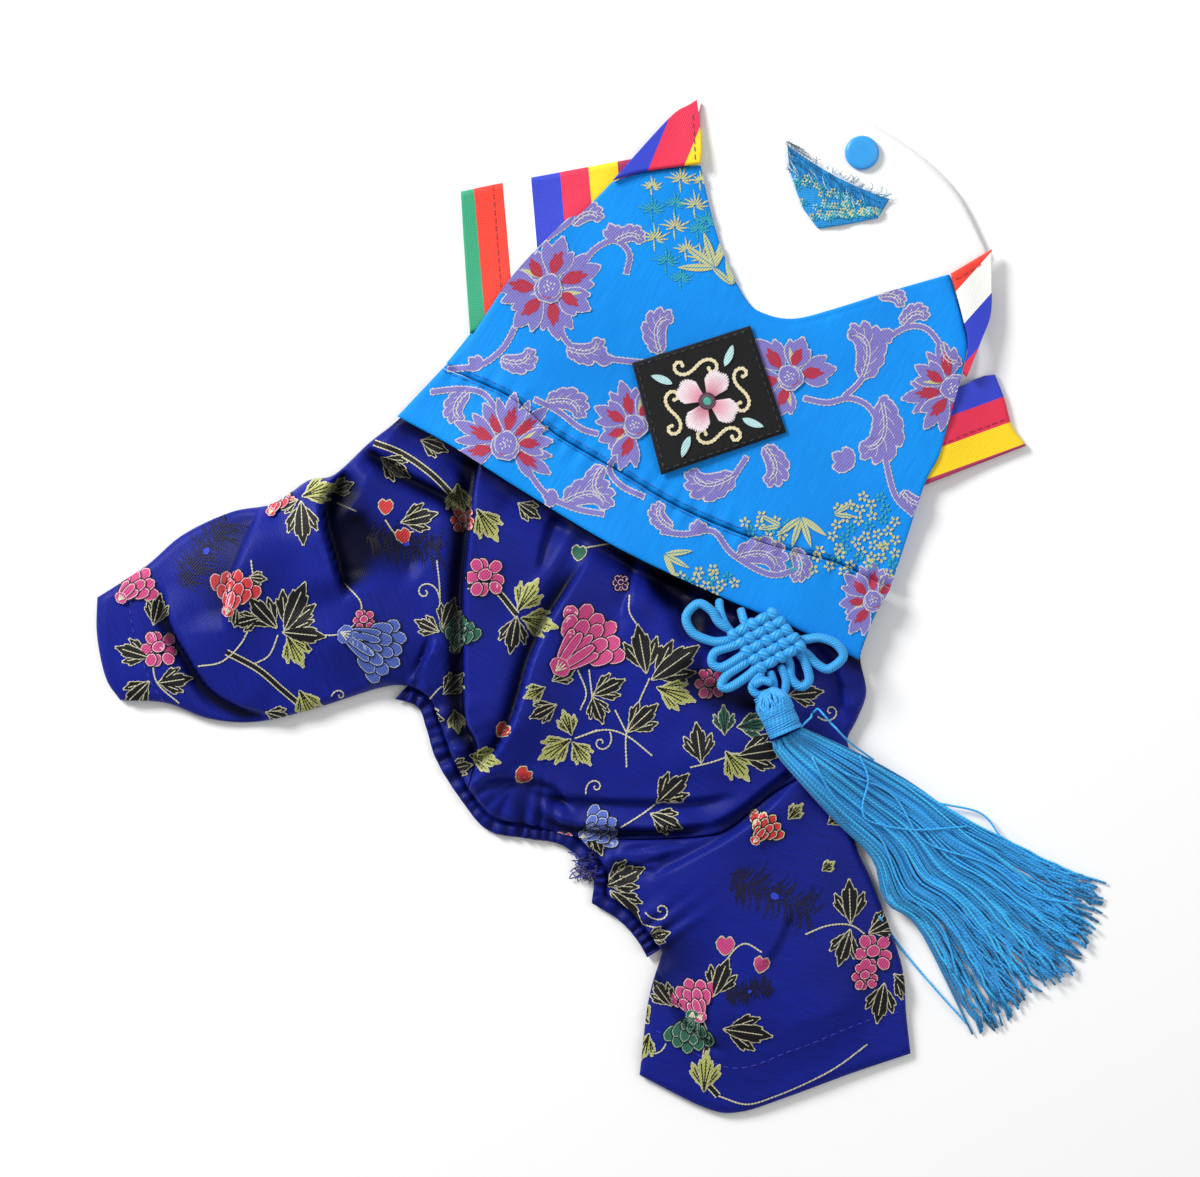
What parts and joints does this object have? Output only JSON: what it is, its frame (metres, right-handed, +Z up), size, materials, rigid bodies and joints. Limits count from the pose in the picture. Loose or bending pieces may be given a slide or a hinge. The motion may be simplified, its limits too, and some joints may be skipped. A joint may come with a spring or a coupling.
{
  "type": "dog hanbok",
  "caption": "Dog's traditional suit laid flat: brocade jacket with striped sleeves over gathered brocade trousers, knot and tassel at the hem.",
  "frame": {"origin": "middle of the laid garment's outline, on the surface it lies on", "axes": "+Z up, away from the surface; +X to the right and +Y up the page as it is seen from above, with the neck towards +Y"},
  "size_m": [0.3536, 0.3541, 0.0238],
  "materials": {
    "azure_brocade": "satin brocade, woven with lilac, red and gold weft",
    "blue_brocade": "satin brocade, woven with cream, red, lime and black weft",
    "white_lining": "plain woven lining",
    "striped_satin": "satin woven in seven coloured stripes",
    "black_felt": "felt with thread embroidery",
    "azure_cord": "twisted rayon cord and thread",
    "azure_plastic": "moulded"
  },
  "bodies": {
    "root": {"belly_panel": "azure_brocade", "neck_lining": "white_lining", "neck_facing": "azure_brocade", "left_sleeve": "striped_satin", "right_sleeve": "striped_satin", "left_leg_layers": "blue_brocade", "seat_layers": "blue_brocade", "right_leg_layers": "blue_brocade", "left_leg_cloth": "blue_brocade", "seat_cloth": "blue_brocade", "right_leg_cloth": "blue_brocade", "tail_elastic": "blue_brocade", "back_panel": "azure_brocade", "hem_band": "azure_brocade", "left_shoulder": "striped_satin", "right_shoulder": "striped_satin", "embroidered_patch": "black_felt", "snap_cap": "azure_plastic", "knot_loop_left": "azure_cord", "knot_loop_right": "azure_cord", "knot_loop_left_middle": "azure_cord", "knot_loop_left_low": "azure_cord", "knot_loop_right_low": "azure_cord", "knot_body": "azure_cord", "tassel_head": "azure_cord", "tassel_skirt": "azure_cord"}
  },
  "joints": []
}
